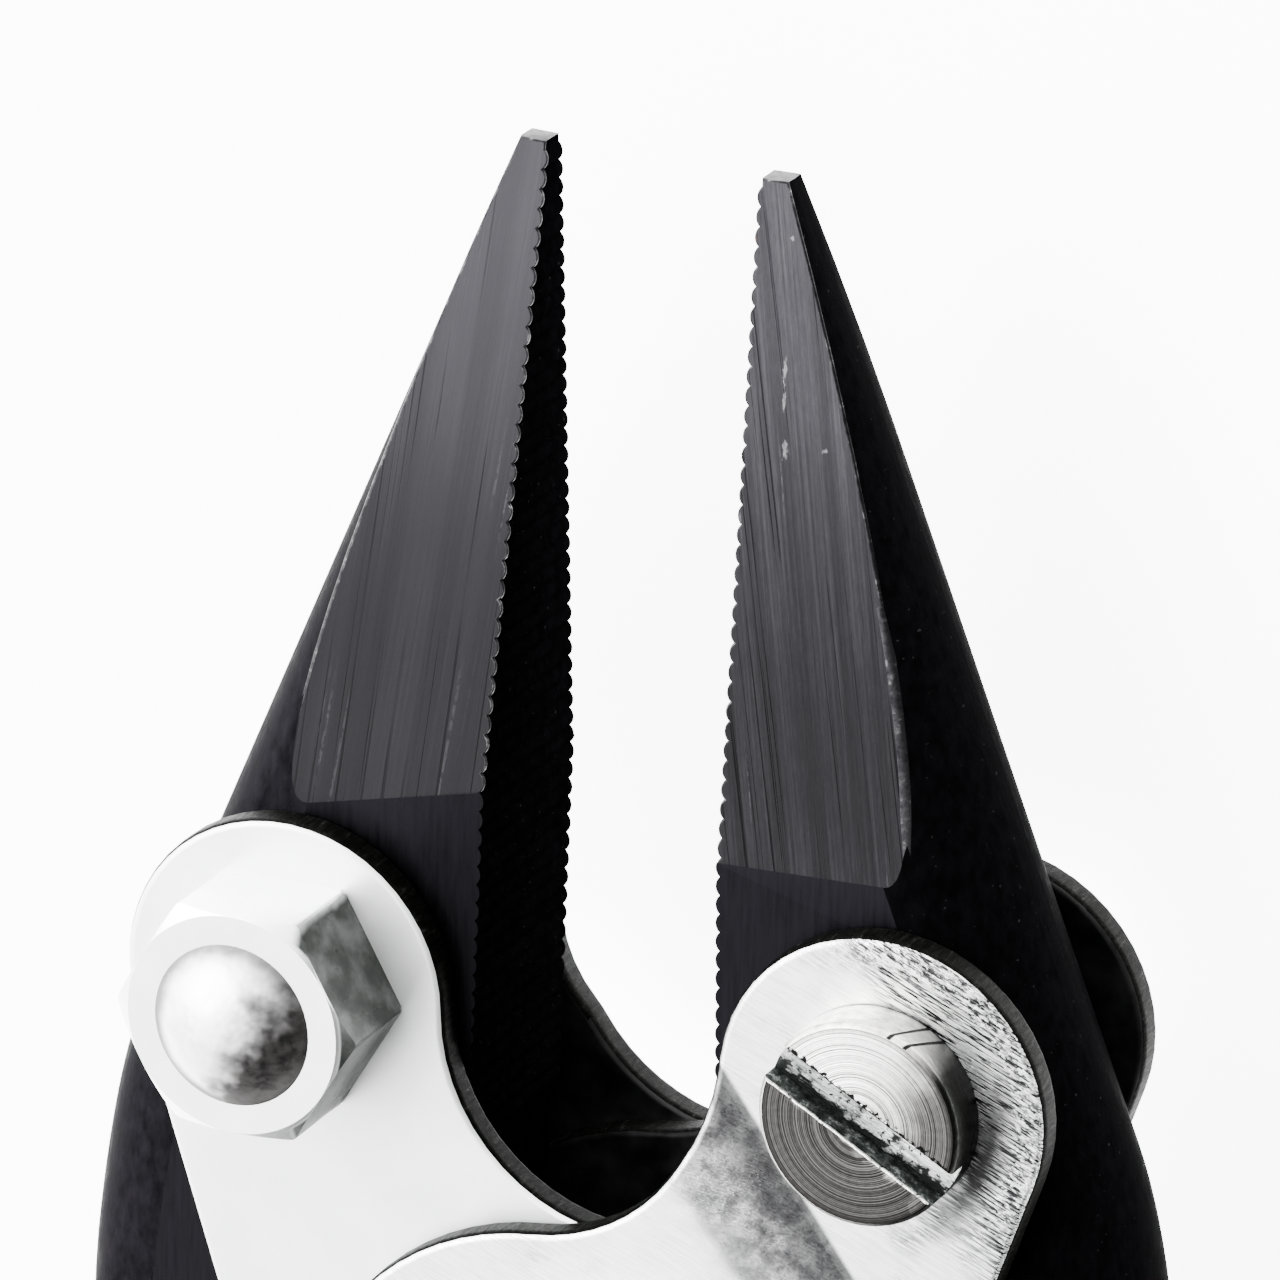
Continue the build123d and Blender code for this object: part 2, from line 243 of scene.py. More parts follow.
def ground_steel(name, ear, tone, contrast, turn, seed, marks=()):
    """Lengthwise ground flat of a blackened jaw, scratched by use and brighter towards the tip.

    Only the right jaw's flat has marks; it has the rust fleck too.
    """
    n = Nodes(name, Metallic=1.0)
    place = (seed, 0, 0)
    tint = (1.0, 0.97, 1.08)
    shares = (1 - 0.6 * contrast, 1.0, 1 + contrast)
    low, middle, high = (tuple(tone * share * t for t in tint) for share in shares)

    # Grinding lines: three fine noises, each a little more askew and more broken than the last.
    fine = n.noise((7, 0.02, 0.1), turn, detail=3, rough=0.65, place=place)
    cross = n.noise((15, 0.06, 0.3), turn + 1.2, detail=2, rough=0.5, place=(seed + 2, 3, 0))
    rub = n.noise((9, 1.4, 0.5), turn + 3.0, detail=5, rough=0.8, place=(seed + 4, 6, 0))
    grain = n.math("ADD", n.both(fine, 0.40), n.math("ADD", n.both(cross, 0.28), n.both(rub, 0.32)))
    wide = 0.11 / contrast
    colour = n.ramp(grain, [(0.5 - wide, low), (0.5, middle), (0.5 + wide, high)])

    # Darker bands and patches.
    broad = n.noise((1.3, 0.02, 0.1), turn, detail=1, place=place)
    patch = n.noise((0.3, 0.12, 0.3), turn, detail=3, place=place)
    colour = n.mix(n.step(broad, 0.6, 0.35, 0, 0.35 * contrast), colour, (0, 0, 0))
    colour = n.mix(n.step(patch, 0.6, 0.35, 0, 0.35), colour, low)

    # Bright scratches, broken along their length, and darker grooves.
    scratch = n.noise((6, 0.030, 0.2), turn + 1.5, detail=1, place=(seed + 5, 3, 0))
    where = n.noise((0.4, 0.08, 0.4), turn, detail=2, place=(seed + 9, 1, 0))
    broken = n.noise((6, 3, 6), turn, detail=3, rough=0.7)
    gaps = n.both(n.step(where, 0.48, 0.62, 0, contrast), n.step(broken, 0.42, 0.55))
    line = n.both(n.step(scratch, 0.66, 0.72), gaps)
    colour = n.mix(line, colour, tuple((1 + 4 * contrast) * v for v in middle))
    groove = n.noise((5, 0.018, 0.1), turn - 1.0, detail=2, rough=0.6, place=(seed + 11, 5, 0))
    dark_line = n.both(n.step(groove, 0.43, 0.37), n.step(where, 0.34, 0.56, 0, contrast))
    colour = n.mix(dark_line, colour, tuple(0.18 * v for v in middle))

    def distance_from(mark):
        """1 on the outline of a mark, 0 in its middle."""
        dx, dy, half_width, half_length = mark
        return n.radius(ear + Vector((dx, dy, 0)) * MM, (1 / half_width, 1 / half_length, 0))

    for mark in marks:
        ragged = n.math("ADD", distance_from(mark), n.swing(broken, 4.0))
        colour = n.mix(n.step(ragged, 1.0, 0.2, 0, 0.7), colour, (0.055, 0.0535, 0.057))
    # Brighter towards the tip.
    tipward_gain = n.step(n.along(ear, (0, 1, 0)), TIPWARD_START, TIPWARD_END, TIPWARD_LOW, TIPWARD_HIGH)
    colour = n.vector_math("SCALE", {0: colour, "Scale": tipward_gain}).outputs[0]
    if marks:
        colour = n.mix(n.step(distance_from(RUST_FLECK), 1.3, 0.6), colour, (0.075, 0.032, 0.028))

    cut = n.math("SUBTRACT", n.both(line, 0.4), n.both(dark_line, 1.2))
    height = n.math("ADD", n.both(grain, 0.8), cut)
    rough = n.step(grain, 0.35, 0.65, 0.36, 0.5)
    return n.out(Base_Color=colour, Roughness=rough, Normal=n.bump(height, 0.010))


def black_steel(name, tone, sheen):
    """Blackened surface, a little pitted; its sheen is the specular level."""
    n = Nodes(name, Specular_IOR_Level=sheen)
    skin = n.noise((2.5, 1.2, 2.5), detail=6, rough=0.6)
    grain = n.noise((12, 3, 12), detail=3)
    stops = [(0.35, (0.0005, 0.0005, 0.0006)), (0.7, (0.0013, 0.0012, 0.0015))]
    colour = n.ramp(skin, [(at, tuple(tone * v for v in shade)) for at, shade in stops])
    speck = n.step(n.noise((5, 5, 5), detail=1, place=(3, 3, 3)), 0.74, 0.78)
    colour = n.mix(speck, colour, (0.006, 0.006, 0.006))
    height = n.math("ADD", skin, n.both(grain, 0.4))
    return n.out(Base_Color=colour, Roughness=n.step(skin, 0.3, 0.7, 0.36, 0.55), Normal=n.bump(height, 0.02))


def smooth_black(name="jaw_forged_flat"):
    """The flat below the ground taper: smoother and darker."""
    n = Nodes(name, Metallic=1.0)
    fine = n.noise((5, 0.4, 5), detail=5, rough=0.6)
    colour = n.ramp(fine, [(0.3, (0.0036, 0.0034, 0.0043)), (0.7, (0.0062, 0.0058, 0.0074))])
    return n.out(Base_Color=colour, Roughness=n.step(fine, 0.3, 0.7, 0.42, 0.55), Normal=n.bump(fine, 0.008))


def worn_edge(name="jaw_worn_edge", share=1.0):
    """Where the blacking has rubbed off a corner; share scales its colours."""
    n = Nodes(name, Metallic=1.0)
    wear = n.noise((2.0, 2.0, 2.0), detail=5, rough=0.7)
    stops = [(0.36, (0.006, 0.006, 0.007)), (0.56, (0.018, 0.0175, 0.019)), (0.72, (0.10, 0.097, 0.10))]
    colour = n.ramp(wear, [(at, tuple(share * v for v in shade)) for at, shade in stops])
    return n.out(Base_Color=colour, Roughness=n.step(wear, 0.3, 0.7, 0.5, 0.3), Normal=n.bump(wear, 0.02))


def clouded(n):
    """Faint clouds in bright plating, and their colour."""
    cloud = n.noise((0.35, 0.35, 0.35), detail=5, rough=0.6)
    return cloud, n.ramp(cloud, [(0.3, (0.78, 0.80, 0.79)), (0.65, (0.90, 0.91, 0.905))])


def smooth_plating(name="smooth_plating"):
    """Bright plated sheet, hardly worn."""
    n = Nodes(name, Metallic=0.65)
    cloud, colour = clouded(n)
    rough = n.step(cloud, 0.3, 0.7, 0.38, 0.46)
    return n.out(Base_Color=colour, Roughness=rough, Normal=n.bump(n.both(cloud, 0.2), 0.012))


def brushed_plating(name="brushed_plating", ear=RIGHT_EAR, turn=21):
    """Plated sheet brushed across the arm, bitten at the ear's rim, with painted shade beside the screw head, and
    dull where the joggle bends.
    """
    n = Nodes(name, Metallic=1.0)
    cloud, colour = clouded(n)
    fine = n.noise((0.55, 15, 15), turn, detail=4, rough=0.7)
    colour = n.mix(n.step(fine, 0.56, 0.40, 0, 0.30), colour, (0.16, 0.16, 0.165))

    # Deep dark strokes, mostly on the ear's right.
    stroke = n.noise((0.9, 17, 17), turn + 2, detail=3, rough=0.6, place=(4, 7, 1))
    where = n.noise((0.35, 0.35, 0.35), turn, detail=3, place=(2, 2, 2))
    right = n.step(n.along(ear, (0.93, 0.36, 0)), -0.5, 4.2)
    busy = n.math("ADD", n.both(where, 0.55), n.both(right, 0.33))
    cut = n.both(n.step(stroke, 0.47, 0.55), n.step(busy, 0.26, 0.48))
    colour = n.mix(cut, colour, (0.012, 0.012, 0.013))
    height = n.math("SUBTRACT", fine, n.both(cut, 1.8))

    # Painted shade against the screw head, low on its right.
    grime_and_shade = n.math("ADD", n.radius(ear), n.swing(stroke, 2.4))
    lower_right = n.step(n.along(ear, (0.93, -0.36, 0)), 2.6, 4.2)
    colour = n.mix(n.both(n.step(grime_and_shade, 5.4, 3.9), lower_right), colour, (0.012, 0.012, 0.012))

    # Bites in a band along the ear's rim.
    rim = n.radius(ear)
    band = n.both(n.step(rim, 4.75, 5.3), n.step(rim, EAR_RADIUS, 5.85))
    band = n.both(band, n.step(n.along(ear, (0.85, 0.52, 0)), -0.5, 3.5))
    bite = n.noise((3.0, 7.0, 3.0), turn + 8, detail=4, rough=0.75)
    height = n.math("ADD", height, n.both(band, n.both(bite, 5.0)))
    colour = n.mix(n.both(band, n.step(bite, 0.49, 0.42, 0, 0.9)), colour, (0.02, 0.02, 0.021))
    colour = n.mix(n.both(band, n.step(bite, 0.52, 0.58)), colour, (0.95, 0.96, 0.96))

    # The joggle: mottled, and darker towards its end.
    travel = n.along(PIVOT, JOGGLE_WAY)
    begins = n.step(travel, JOGGLE_START - 1.6, JOGGLE_START + 1.6)
    bend = n.both(begins, n.step(travel, JOGGLE_END + 0.22, JOGGLE_END + 0.02))
    mottle = n.noise((1.3, 1.3, 1.3), turn=20, detail=5, rough=0.62)
    dull = n.ramp(mottle, [(0.28, (0.070, 0.070, 0.072)), (0.45, (0.26, 0.26, 0.265)),
                           (0.60, (0.66, 0.67, 0.66))])
    near_end = n.step(travel, JOGGLE_START + 0.7, JOGGLE_END - 0.3, 0, 0.85)
    dull = n.mix(near_end, dull, (0.050, 0.050, 0.052))
    colour = n.mix(bend, colour, dull)
    height = n.math("ADD", height, n.both(bend, n.both(mottle, 2.0)))

    rough = n.step(fine, 0.3, 0.7, 0.44, 0.26)
    return n.out(Base_Color=colour, Roughness=rough, Normal=n.bump(height, 0.012))


def shaded_sheet_edge(name="shaded_sheet_edge"):
    """Bare sheet edge, painted dark as shade, torn in fine upright lines, with a few bright burrs."""
    n = Nodes(name, Metallic=0.1, Specular_IOR_Level=0.008)
    torn = n.noise((6, 6, 1.2), detail=5, rough=0.7)
    colour = n.ramp(torn, [(0.36, (0.0006, 0.00066, 0.0006)), (0.56, (0.0020, 0.0021, 0.0018)),
                           (0.68, (0.0075, 0.0076, 0.0070)), (0.78, (0.12, 0.12, 0.12))])
    return n.out(Base_Color=colour, Roughness=n.step(torn, 0.3, 0.7, 0.5, 0.35), Normal=n.bump(torn, 0.05))


def inner_sheet_painted_shade(name="inner_sheet_painted_shade"):
    """The inner faces of the cheeks, painted black as the shade between the cheeks and the jaws."""
    n = Nodes(name, Metallic=0.8)
    shade_mottle = n.noise((0.6, 0.6, 0.6), detail=6, rough=0.6)
    colour = n.ramp(shade_mottle, [(0.35, (0.005, 0.005, 0.0054)), (0.7, (0.018, 0.0175, 0.018))])
    return n.out(Base_Color=colour, Roughness=n.step(shade_mottle, 0.3, 0.7, 0.35, 0.6), Normal=n.bump(shade_mottle, 0.03))


def turned_steel(name, centre, shaded):
    """A lathe-turned face: rings about its own axis, with painted shade on its shaded side and its right,
    and a dark line along the slot's upper lip."""
    n = Nodes(name, Metallic=1.0)
    r = n.radius(centre)
    rings = n.rings(r, 19.0, detail=3)
    coarse = n.rings(n.math("ADD", r, 7.0), 3.2, detail=2)
    warp = n.noise((0.9, 0.9, 0.9), detail=4)
    broken = n.noise((5, 5, 5), detail=3)
    line = n.math("ADD", n.both(coarse, 0.3), n.both(broken, 0.1))
    line = n.math("ADD", n.both(rings, 0.6), line)
    tone = n.ramp(line, [(0.38, (0.09, 0.088, 0.086)), (0.47, (0.52, 0.51, 0.50)),
                         (0.56, (0.96, 0.95, 0.94))])
    face_shade_colour = n.ramp(line, [(0.36, (0.0095, 0.0088, 0.0086)), (0.48, (0.020, 0.0188, 0.0184)),
                           (0.60, (0.075, 0.072, 0.071))])
    sway = n.swing(warp, 2.0)
    # Painted shade: darker on the shaded side and on the right.
    far = n.math("ADD", n.along(centre, shaded), sway)
    right = n.math("ADD", n.along(centre, (0.92, -0.25, 0)), sway)
    dirt_and_shade = n.math("MAXIMUM", n.step(far, 0.0, 0.9), n.step(right, -0.3, 2.5, 0, 0.95))
    colour = n.mix(dirt_and_shade, tone, face_shade_colour)
    # A dark line along the slot's upper lip.
    lip = n.along(centre, turned_by((0, 1, 0), SLOT_TURN))
    jagged = n.math("ADD", lip, n.swing(broken, 0.9))
    dark_lip_line = n.step(jagged, SLOT_HALF + 0.16, SLOT_HALF + 0.08)
    colour = n.mix(n.both(dark_lip_line, n.step(lip, 0.0, 0.1)), colour, (0.004, 0.004, 0.004))
    dome = n.both(n.both(r, r), -1.0)
    normal = n.bump(line, 0.030, n.bump(dome, 0.010))
    return n.out(Base_Color=colour, Roughness=n.step(line, 0.35, 0.6, 0.42, 0.28), Normal=normal)


def head_side(name, centre, top):
    """The turned side of a screw head, with painted shade on its right and along its foot, and two nicks that a
    slipping tool left.
    """
    n = Nodes(name, Metallic=1.0)
    top = Vector((centre.x, centre.y, top))
    skin = n.noise((2.2, 2.2, 3.5), detail=6, rough=0.7)
    colour = n.ramp(skin, [(0.3, (0.30, 0.295, 0.28)), (0.6, (0.84, 0.83, 0.79))])
    side_shade_colour = n.ramp(skin, [(0.35, (0.0022, 0.0024, 0.0021)), (0.65, (0.015, 0.016, 0.0145))])
    # Painted shade: darker where the side turns away to the right.
    turned_away = n.math("ADD", n.along(centre, (0.96, -0.28, 0)), n.math("SUBTRACT", skin, 0.5))
    colour = n.mix(n.step(turned_away, 0.2, 2.4), colour, side_shade_colour)
    # Painted shade: a black line along the foot of the head, where it meets the cheek.
    seat = Vector((centre.x, centre.y, HEAD_SEAT))
    colour = n.mix(n.step(n.along(seat, (0, 0, 1)), 0.16, 0.08), colour, (0.0006, 0.0006, 0.0006))
    mark = None
    for azimuth in NICK_AZIMUTHS:
        across = n.along(top, turned_by((0, 1, -0.42), azimuth))
        outward = n.along(centre, turned_by((1, 0, 0), azimuth))
        line = n.both(n.step(n.math("ABSOLUTE", across), 0.085, 0.045), n.step(outward, 1.0, 1.4))
        mark = line if mark is None else n.math("MAXIMUM", mark, line)
    colour = n.mix(mark, colour, (0.012, 0.012, 0.012))
    height = n.math("SUBTRACT", skin, n.both(mark, 2.0))
    return n.out(Base_Color=colour, Roughness=n.step(skin, 0.3, 0.7, 0.42, 0.28), Normal=n.bump(height, 0.03))


def slot_floor(name, centre):
    """The milled slot, scraped bright by screwdrivers, duller at its left end, with a painted shadow
    along its lower wall."""
    n = Nodes(name, Metallic=1.0)
    scrape = n.noise((0.9, 6, 6), -SLOT_TURN, detail=5, rough=0.7)
    dirt_and_shade = n.noise((0.9, 1.5, 0.9), -SLOT_TURN, detail=5, rough=0.65, place=(1, 4, 2))
    colour = n.ramp(scrape, [(0.3, (0.34, 0.37, 0.355)), (0.6, (0.86, 0.88, 0.865))])
    dull_end = n.step(n.along(centre, turned_by((1, 0, 0), SLOT_TURN)), 2.2, -1.8, 0, 0.75)
    colour = n.mix(n.both(dull_end, n.step(dirt_and_shade, 0.35, 0.6, 1.0, 0.5)), colour, (0.09, 0.10, 0.097))
    # Painted shadow of the lower wall, on the floor beside it.
    across = n.along(centre, turned_by((0, 1, 0), SLOT_TURN))
    wall_shadow = n.math("ADD", across, n.swing(dirt_and_shade, 2.6))
    colour = n.mix(n.step(wall_shadow, -0.10, -0.42), colour, (0.012, 0.0138, 0.013))
    crumb = n.noise((4, 4, 4), -SLOT_TURN, detail=3, rough=0.7, place=(7, 7, 7))
    colour = n.mix(n.step(crumb, 0.57, 0.63), colour, (0.02, 0.022, 0.021))
    height = n.math("ADD", n.both(scrape, 1.2), dirt_and_shade)
    return n.out(Base_Color=colour, Roughness=n.step(dirt_and_shade, 0.35, 0.6, 0.6, 0.3), Normal=n.bump(height, 0.05))


def slot_wall(name):
    """Grimed, with a few bright scrapes."""
    n = Nodes(name, Metallic=1.0)
    grime_and_shade = n.noise((2.0, 2.0, 2.0), detail=6, rough=0.75)
    colour = n.ramp(grime_and_shade, [(0.34, (0.006, 0.0065, 0.006)), (0.46, (0.020, 0.023, 0.0215)),
                            (0.56, (0.08, 0.088, 0.084)), (0.66, (0.45, 0.47, 0.46))])
    return n.out(Base_Color=colour, Roughness=n.step(grime_and_shade, 0.3, 0.7, 0.7, 0.45), Normal=n.bump(grime_and_shade, 0.06))


def burr(name, dark):
    """A slot's lip: scraped bright, or darker."""
    n = Nodes(name, Metallic=1.0)
    wear = n.noise((3.5, 3.5, 3.5), detail=5, rough=0.7)
    colour = n.ramp(n.math("ADD", wear, -0.14 if dark else 0.1),
                    [(0.38, (0.002, 0.002, 0.002)), (0.48, (0.02, 0.02, 0.02)), (0.58, (0.95, 0.95, 0.94))])
    return n.out(Base_Color=colour, Roughness=n.step(wear, 0.3, 0.7, 0.5, 0.25), Normal=n.bump(wear, 0.04))


def plated_nut(name="nut_plating", shaded_flats_top=None):
    """Bright plating; below the top face of a nut given shaded flats, the flats on the tool's right are painted
    dark, as a reflection of the tent's dark side.
    """
    n = Nodes(name, Metallic=0.9)
    cloud = n.noise((0.5, 0.5, 0.5), detail=4, rough=0.5)
    colour = n.ramp(cloud, [(0.3, (0.78, 0.80, 0.79)), (0.65, (0.92, 0.93, 0.925))])
    if shaded_flats_top is not None:
        # Painted reflection: the flats on the right made dark.
        shade_mottle = n.noise((0.7, 0.7, 0.7), detail=4, place=(2, 1, 5))
        dark = n.ramp(shade_mottle, [(0.35, (0.016, 0.0180, 0.0173)), (0.5, (0.030, 0.0318, 0.030)),
                             (0.68, (0.08, 0.083, 0.082))])
        flank = n.math("ADD", n.along(shaded_flats_top, (1, 0, 0)), n.swing(shade_mottle, 0.4))
        below_top = n.step(n.along(shaded_flats_top, (0, 0, 1)), -0.03, -0.12)
        mask = n.both(n.step(flank, 2.1, 2.5), below_top)
        colour = n.mix(mask, colour, dark)
        n.shader.inputs["Specular IOR Level"].default_value = 0.05
        n.out(Metallic=n.step(mask, 0.0, 1.0, 0.9, 0.0))
    rough = n.step(cloud, 0.3, 0.7, 0.22, 0.32)
    return n.out(Base_Color=colour, Roughness=rough, Normal=n.bump(cloud, 0.006))


def peened_end(name, centre):
    """The screw's end, hammered over the nut: bright on top, with painted shade, dark and mottled, low down on its
    right and around its rim.
    """
    n = Nodes(name, Metallic=1.0)
    mottle = n.noise((0.5, 0.5, 0.5), detail=3, rough=0.5)
    grain = n.noise((2.2, 2.2, 2.2), detail=5, rough=0.6)
    colour = n.ramp(grain, [(0.3, (0.72, 0.71, 0.71)), (0.6, (0.92, 0.91, 0.91))])
    # Painted shade: a dark crescent low on the right, and a dark rim.
    sway = n.swing(mottle, 5.5)
    low = n.math("ADD", n.along(centre, (0.86, -0.5, 0)), sway)
    rim = n.math("ADD", n.radius(centre), n.both(sway, 0.15))
    dark = n.math("MAXIMUM", n.step(low, 0.3, 1.8, 0, 0.95), n.step(rim, 2.2, 2.8, 0, 0.85))
    end_shade_colour = n.ramp(grain, [(0.35, (0.007, 0.0062, 0.0062)), (0.65, (0.04, 0.035, 0.034))])
    colour = n.mix(dark, colour, end_shade_colour)
    return n.out(Base_Color=colour, Roughness=n.step(grain, 0.3, 0.7, 0.36, 0.5), Normal=n.bump(mottle, 0.10))


def oiled_steel(name="oiled_steel"):
    """Bare steel that turns inside the tool."""
    n = Nodes(name, Metallic=1.0)
    skin = n.noise((2, 2, 6), detail=5, rough=0.6)
    colour = n.ramp(skin, [(0.3, (0.16, 0.15, 0.14)), (0.7, (0.42, 0.40, 0.38))])
    return n.out(Base_Color=colour, Roughness=n.step(skin, 0.3, 0.7, 0.25, 0.45), Normal=n.bump(skin, 0.02))


def vinyl(name="dipped_vinyl"):
    """Soft black vinyl with a fine orange-peel skin."""
    n = Nodes(name, Specular_IOR_Level=0.03)
    peel = n.noise((1.6, 1.6, 1.6), detail=3)
    fine = n.noise((9, 9, 9), detail=2)
    scuff = n.noise((0.25, 0.08, 0.25), turn=20, detail=5, rough=0.7)
    colour = n.ramp(scuff, [(0.35, (0.0016, 0.0016, 0.0018)), (0.7, (0.0042, 0.0042, 0.0045))])
    height = n.math("ADD", peel, n.both(fine, 0.25))
    rough = n.step(scuff, 0.35, 0.7, 0.38, 0.6)
    return n.out(Base_Color=colour, Roughness=rough, Normal=n.bump(height, 0.05))


# ---- pieces: the CAD surfaces with the edges, faces and wear of the real metal ----
WELD = 0.002 * MM
record = frame["record"]
BODY_OF = {node: body for body, nodes in record["behaviour"]["bodies"].items() for node in nodes}


def welded(node):
    """A CAD node's surface as welded mesh, all of it in the first material."""
    bm = bmesh.new()
    bm.from_mesh(frame["nodes"][node].data)
    bmesh.ops.remove_doubles(bm, verts=bm.verts, dist=WELD)
    for face in bm.faces:
        face.material_index = 0
    return bm


def surface(node):
    """The same with its flat faces made whole, to be worked on."""
    bm = welded(node)
    bmesh.ops.dissolve_limit(bm, angle_limit=math.radians(0.4), verts=bm.verts, edges=bm.edges)
    return bm


def materials_beside(edge):
    return {face.material_index for face in edge.link_faces}


def sharp_edges(bm, degrees, test=None):
    """Outside corners sharper than an angle in degrees."""
    found = []
    for edge in bm.edges:
        if len(edge.link_faces) == 2 and edge.calc_face_angle_signed(0) > math.radians(degrees):
            if test is None or test(edge):
                found.append(edge)
    return found


def round_over(bm, edges, width, segments, material=-1):
    """Round edges over; the width is in millimetres, and material -1 is the neighbours' own."""
    bmesh.ops.bevel(bm, geom=edges, offset=width * MM, segments=segments, profile=0.5, affect="EDGES",
                    clamp_overlap=False, material=material)


def finish_piece(bm, name, node, materials, crease=40):
    """Turn worked mesh into a piece that stands for a CAD node and rides with its body."""
    for face in bm.faces:
        face.smooth = True
    for edge in bm.edges:
        inside = len(edge.link_faces) == 2
        edge.smooth = not inside or abs(edge.calc_face_angle(0)) < math.radians(crease)
    mesh = bpy.data.meshes.new(name)
    bm.to_mesh(mesh)
    bm.free()
    if mesh.attributes.get("custom_normal"):
        mesh.attributes.remove(mesh.attributes["custom_normal"])
    for material in materials:
        mesh.materials.append(material)
    piece = bpy.data.objects.new(name, mesh)
    bpy.context.scene.collection.objects.link(piece)
    weighted = piece.modifiers.new("flat_faces", "WEIGHTED_NORMAL")
    weighted.keep_sharp = True
    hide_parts(node)
    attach(piece, BODY_OF[node])


# ---- jaws ----
FORGED, GROUND, SMOOTH, WORN, TEETH, STRIP = range(6)   # a jaw's materials
GRIND_LEAN = 7.8            # degrees from level, of the ground flats
LEAN_SLACK = 0.004          # how far the Z of a ground flat's normal may be off
TIP_END = 29.0              # a jaw's end face lies higher than this above its ear
WORN_STRIP = (5.2, 16.9)    # height above the ear, of the right jaw's worn corner
STRIP_WIDTH = 0.2
CORNER_WIDTH = 0.07


def biggest(faces):
    return max(faces, key=lambda f: f.calc_area())


def jaw_faces(bm, ear, inward):
    """Give each of a jaw's faces its material; inward is the side of its teeth along X."""
    level = math.cos(math.radians(GRIND_LEAN))
    for sign in (1, -1):
        tilted = [f for f in bm.faces if abs(f.normal.z * sign - level) < LEAN_SLACK]
        flat = [f for f in bm.faces if f.normal.z * sign > 0.9999]
        if tilted:
            biggest(tilted).material_index = GROUND
        if flat:
            biggest(flat).material_index = SMOOTH
    for face in bm.faces:
        upright = abs(face.normal.z) < 0.05
        if face.material_index == FORGED and upright and face.normal.x * inward > 0.3:
            face.material_index = TEETH
        if face.normal.y > 0.9 and face.calc_center_median().y > ear.y + TIP_END * MM:
            face.material_index = SMOOTH


def make_jaw(node, ground, forged, inward, ear, strip=None):
    """Ground flats, forged flats, black sides and worn corners; in the strip a corner is worn wide."""
    bm = surface(node)
    jaw_faces(bm, ear, inward)
    if strip:
        for height in strip:
            cut = ear + Vector((0, height * MM, 0))
            geom = bm.verts[:] + bm.edges[:] + bm.faces[:]
            bmesh.ops.bisect_plane(bm, geom=geom, plane_co=cut, plane_no=(0, 1, 0))

        def in_strip(edge):
            middle = (edge.verts[0].co + edge.verts[1].co) / 2 - ear
            along = strip[0] * MM < middle.y < strip[1] * MM
            return materials_beside(edge) == {FORGED, GROUND} and middle.z > 0 and along

        round_over(bm, sharp_edges(bm, 20, in_strip), STRIP_WIDTH, 1, STRIP)

    def at_ground_flat(edge):
        beside = materials_beside(edge)
        return GROUND in beside and STRIP not in beside

    round_over(bm, sharp_edges(bm, 28, at_ground_flat), CORNER_WIDTH, 2, WORN)
    materials = [black_steel(node + "_forged", *forged), ground, smooth_black(), worn_edge(),
                 black_steel(node + "_teeth", *TOOTHED), worn_edge("worn_strip", 1.5)]
    finish_piece(bm, node + "_forging", node, materials)


# ---- handles ----
PLATED, SHEARED, INNER_SHADE = range(3)      # a handle's materials
SHEET_ROUNDING = 0.3
EDGE_LEVEL = 0.8            # faces steeper than this belong to the sheared edge


def make_handle(node, material):
    """Sheet with its sheared and pressed edges rounded over, and painted dark inside as shade."""
    bm = surface(node)
    round_over(bm, sharp_edges(bm, 40), SHEET_ROUNDING, 4)
    bm.normal_update()
    for face in bm.faces:
        if abs(face.normal.z) < EDGE_LEVEL:
            face.material_index = SHEARED
        # Faces towards the middle of the tool get the inner sheet's painted shade.
        elif face.normal.z * (face.calc_center_median().z - PIVOT.z) < 0:
            face.material_index = INNER_SHADE
    materials = [material, shaded_sheet_edge(), inner_sheet_painted_shade()]
    finish_piece(bm, node + "_sheet", node, materials, crease=50)


# ---- screws ----
FACE, SIDE, SLOT, WALL, END, LIP, DARK_LIP = range(7)     # a screw's materials
RIM_WIDTH = 0.05
HEAD_SHARE = 0.52           # a screw head's height, as a share of its radius
SIDE_SHARE = 0.93           # the head's side is further out than this share of its radius
FACE_DEPTH = 0.05           # the slot's floor is deeper than this
LIP_WIDTH = 0.07
LIP_CUTS = 40               # into how many short edges each lip is cut, to be roughened
LIP_GRAIN = 0.35
LIP_ROUGHNESS = 0.03
LIP_SEED = 1


def screw_faces(bm, axis, top, out, reach):
    """Give each of a screw's faces its material; out is the way its head faces along Z."""
    for face in bm.faces:
        middle = face.calc_center_median()
        depth = (top - middle.z) * out
        if depth > HEAD_SHARE * reach:
            face.material_index = END
        elif face.normal.z * out > 0.9:
            face.material_index = FACE if depth < FACE_DEPTH * MM else SLOT
        elif (middle.xy - axis.xy).length > SIDE_SHARE * reach:
            face.material_index = SIDE
        else:
            face.material_index = WALL


